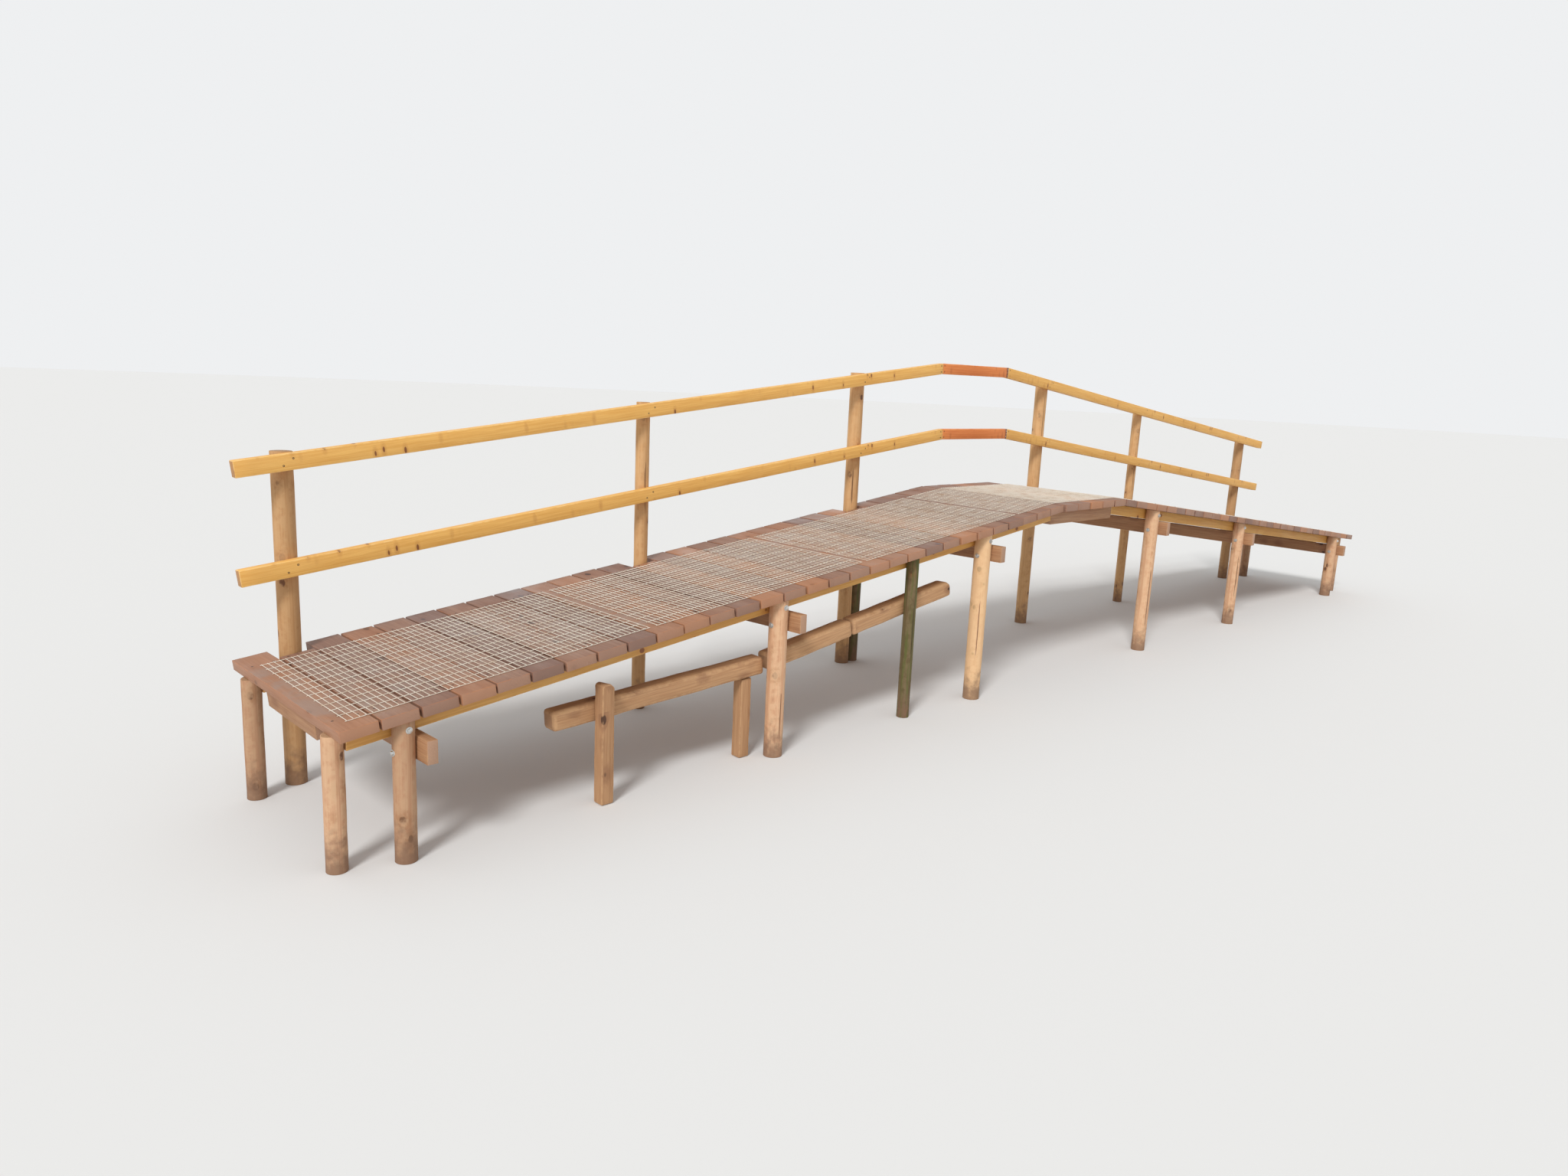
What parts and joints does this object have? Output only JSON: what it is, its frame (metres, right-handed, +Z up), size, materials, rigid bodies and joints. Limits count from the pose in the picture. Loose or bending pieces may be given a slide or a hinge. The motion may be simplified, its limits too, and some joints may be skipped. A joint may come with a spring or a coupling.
{
  "type": "timber footbridge",
  "caption": "Humped timber footbridge: sloping board ramps and a level crest, wire mesh on the deck, a post and rail handrail on one side, and round timber piles.",
  "frame": {"origin": "on the level floor below the middle of the crest and of the deck's width", "axes": "+X along the bridge to its right end, +Y across it to the handrail side, +Z up"},
  "size_m": [10.3554, 1.29, 2.0783],
  "materials": {
    "deck_board": "damp, trodden",
    "stringer": "sawn",
    "bearer": "sawn, weathered",
    "post": "turned, weathered",
    "pile": "turned, weathered",
    "old_pile": "mossy",
    "rail": "planed, knotty",
    "crest_rail": "planed",
    "mesh": "galvanised",
    "fixings": "galvanised",
    "log": "muddy, weathered"
  },
  "bodies": {
    "root": {"left_ramp_boards": "deck_board", "crest_boards_deck": "deck_board", "right_ramp_boards": "deck_board", "left_front_stringer": "stringer", "left_rear_stringer": "stringer", "crest_front_stringer": "bearer", "crest_rear_stringer": "bearer", "right_front_stringer": "stringer", "right_rear_stringer": "stringer", "stringer_splices": "bearer", "bearer_1": "bearer", "bearer_2": "bearer", "bearer_3": "bearer", "bearer_4": "bearer", "bearer_5": "bearer", "bearer_6": "bearer", "left_end_block": "bearer", "right_end_block": "bearer", "left_end_piles": "pile", "right_end_piles": "pile", "rail_post_1": "post", "rail_post_2": "post", "rail_post_3": "post", "rail_post_4": "post", "rail_post_5": "post", "rail_post_6": "post", "front_pile_1": "pile", "front_pile_2": "pile", "front_pile_3": "pile", "front_pile_4": "pile", "front_pile_5": "pile", "front_pile_6": "pile", "prop_pile": "old_pile", "old_rear_pile": "old_pile", "top_rail_left": "rail", "top_rail_crest": "crest_rail", "top_rail_right": "rail", "mid_rail_left": "rail", "mid_rail_crest": "crest_rail", "mid_rail_right": "rail", "mesh_left": "mesh", "mesh_crest": "mesh", "mesh_right": "mesh", "edging_log_left": "log", "edging_log_middle": "log", "edging_log_right": "log", "edging_pegs": "log"}
  },
  "joints": []
}
